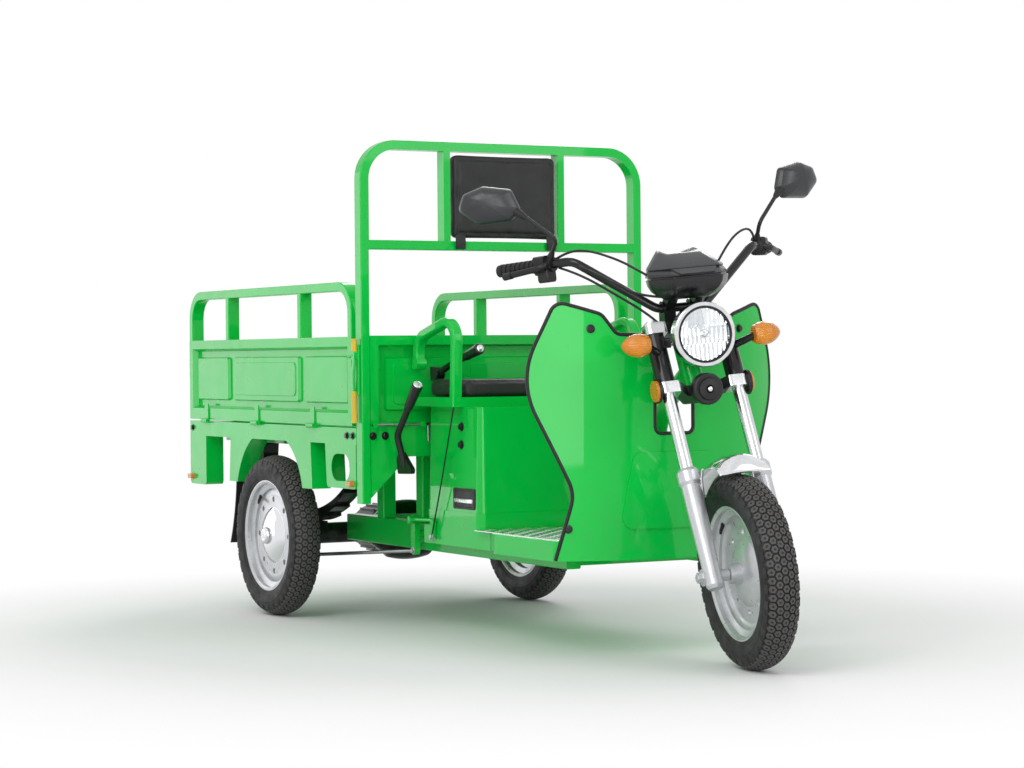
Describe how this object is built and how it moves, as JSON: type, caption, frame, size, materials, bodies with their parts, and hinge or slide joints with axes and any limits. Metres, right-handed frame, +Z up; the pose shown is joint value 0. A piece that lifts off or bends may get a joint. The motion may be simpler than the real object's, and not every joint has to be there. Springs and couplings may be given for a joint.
{
  "type": "electric cargo tricycle",
  "caption": "Open electric cargo tricycle with a drop-side bed, padded bench, leg shield and a steered front wheel.",
  "frame": {"origin": "on the ground under the middle of the overall box, as it parks", "axes": "+X forward, +Y to the rider's left, +Z up"},
  "size_m": [2.6499, 0.9286, 1.3149],
  "materials": {
    "green_paint": "gloss",
    "rubber": "matte",
    "tyre": "matte",
    "silver_wheel": "satin",
    "alloy": "brushed",
    "chrome": "polished",
    "black_plastic": "matte",
    "black_metal": "satin",
    "steel": "bare",
    "leatherette": "matte",
    "amber": "gloss",
    "red": "gloss",
    "lamp_glass": "clear"
  },
  "bodies": {
    "chassis": {"floor_rails": "green_paint", "floor_crossmembers": "green_paint", "bed_rails": "green_paint", "bed_bearers": "green_paint", "bed_posts": "green_paint", "steering_head": "green_paint", "leg_shield": "green_paint", "floor_pan": "green_paint", "floor_plate": "alloy", "seat_box": "green_paint", "battery_pack": "black_plastic", "seat_frame": "green_paint", "seat_cushion": "leatherette", "bed_deck": "green_paint", "front_wall": "green_paint", "headboard": "green_paint", "back_pad": "leatherette", "bed_skirts": "green_paint", "rear_axle": "black_metal", "drive_motor": "black_metal", "leaf_springs": "black_metal", "hand_levers": "black_metal", "brake_linkage": "steel", "mud_flaps": "rubber", "tail_lamps": "red", "side_markers": "amber"},
    "steering": {"fork_upper": "alloy", "fork_sliders": "alloy", "fork_ears": "black_metal", "front_fender": "chrome", "headlamp_shell": "chrome", "headlamp_lens": "lamp_glass", "horn": "black_plastic", "signal_lenses": "amber", "instrument_pod": "black_plastic", "handlebar": "black_metal", "grips": "rubber", "hand_controls": "black_plastic", "mirror_shells": "black_plastic"},
    "front_wheel": {"front_tyre": "tyre", "front_rim": "silver_wheel"},
    "rear_wheel_right": {"rear_tyre_right": "tyre", "rear_rim_right": "silver_wheel"},
    "rear_wheel_left": {"rear_tyre_left": "tyre", "rear_rim_left": "silver_wheel"},
    "gate_right": {"side_gate_right": "green_paint", "gate_hoop_right": "green_paint"},
    "gate_left": {"side_gate_left": "green_paint", "gate_hoop_left": "green_paint"},
    "gate_rear": {"tail_gate": "green_paint"}
  },
  "joints": [
    {"name": "steering_turn", "type": "hinge", "parent": "chassis", "child": "steering", "pos_m": [1.06553, 0, 0.21476], "axis": [-0.4067, 0, 0.9135], "range_deg": [-17.6, 42.4]},
    {"name": "front_wheel_spin", "type": "hinge", "parent": "steering", "child": "front_wheel", "pos_m": [1.09675, -0.00752, 0.22867], "axis": [0.1962, 0.9767, 0.0873], "continuous": true},
    {"name": "rear_wheel_right_spin", "type": "hinge", "parent": "chassis", "child": "rear_wheel_right", "pos_m": [-0.7045, -0.411, 0.229], "axis": [0, 1, 0], "continuous": true},
    {"name": "rear_wheel_left_spin", "type": "hinge", "parent": "chassis", "child": "rear_wheel_left", "pos_m": [-0.7045, 0.411, 0.229], "axis": [0, 1, 0], "continuous": true},
    {"name": "gate_right_drop", "type": "hinge", "parent": "chassis", "child": "gate_right", "pos_m": [-0.7045, -0.444, 0.55], "axis": [1, 0, 0], "range_deg": [0, 165]},
    {"name": "gate_left_drop", "type": "hinge", "parent": "chassis", "child": "gate_left", "pos_m": [-0.7045, 0.444, 0.55], "axis": [-1, 0, 0], "range_deg": [0, 165]},
    {"name": "gate_rear_drop", "type": "hinge", "parent": "chassis", "child": "gate_rear", "pos_m": [-1.3205, 0, 0.55], "axis": [0, -1, 0], "range_deg": [0, 150]}
  ]
}
